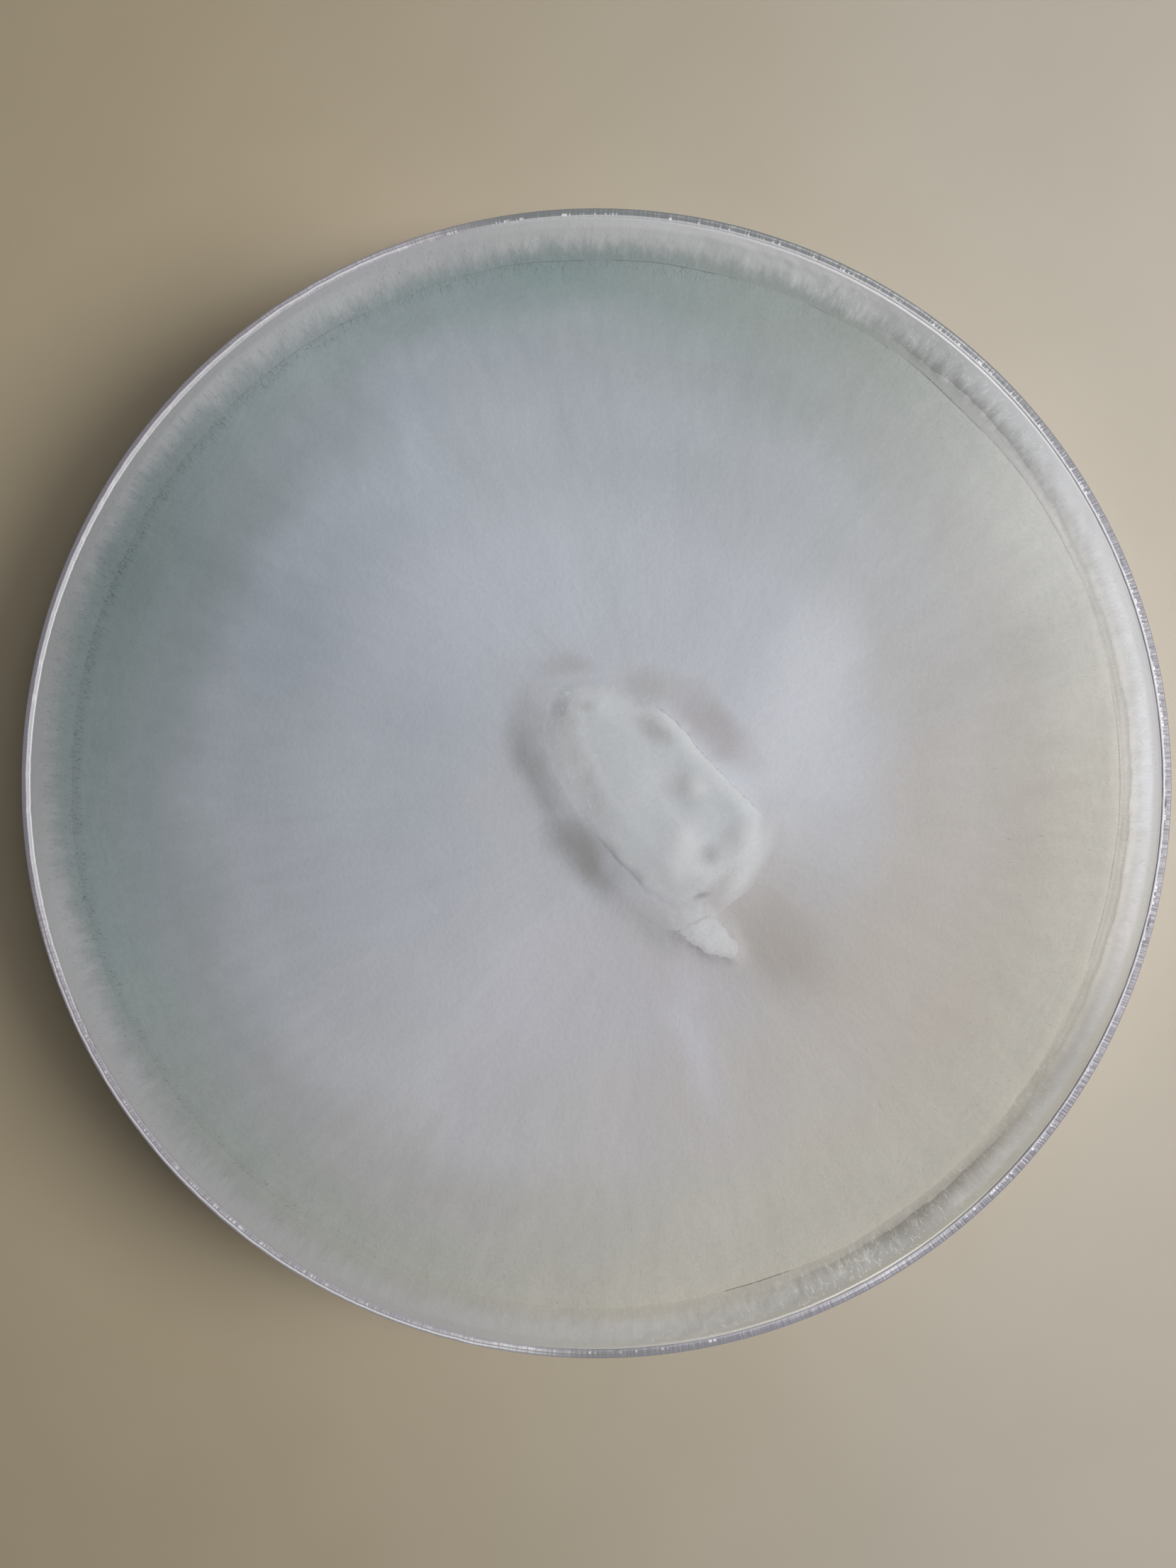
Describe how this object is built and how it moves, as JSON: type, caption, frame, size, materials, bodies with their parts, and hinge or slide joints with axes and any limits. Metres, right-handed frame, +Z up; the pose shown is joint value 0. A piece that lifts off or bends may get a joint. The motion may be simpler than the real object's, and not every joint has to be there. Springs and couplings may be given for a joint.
{
  "type": "petri dish",
  "caption": "Open round clear plastic culture dish standing in its upturned lid, with agar and a felted mould colony with a green margin and an off-centre seed block.",
  "frame": {"origin": "middle of the upturned lid's stacking ring, on the bench", "axes": "+Z up out of the open dish, +Y to the far side of the culture as it is looked at from above, +X to its right"},
  "size_m": [0.0916, 0.0916, 0.0165],
  "materials": {
    "clear_polystyrene": "clear, glossy, moulded",
    "agar_gel": "translucent moist gel",
    "pale_mycelium": "soft felt",
    "white_mycelium": "fluffy felt",
    "green_spores": "powdery"
  },
  "bodies": {
    "lid": {"lid": "clear_polystyrene"},
    "dish": {"dish_base": "clear_polystyrene", "agar_medium": "agar_gel", "mycelium_mat": "pale_mycelium", "wall_collar": "white_mycelium", "spore_ring": "green_spores", "inoculum_block": "agar_gel", "block_felt": "white_mycelium", "felt_tuft": "white_mycelium"}
  },
  "joints": [
    {"name": "base_lift", "type": "slide", "parent": "lid", "child": "dish", "axis": [0, 0, 1], "range_m": [0, 0.04]}
  ]
}
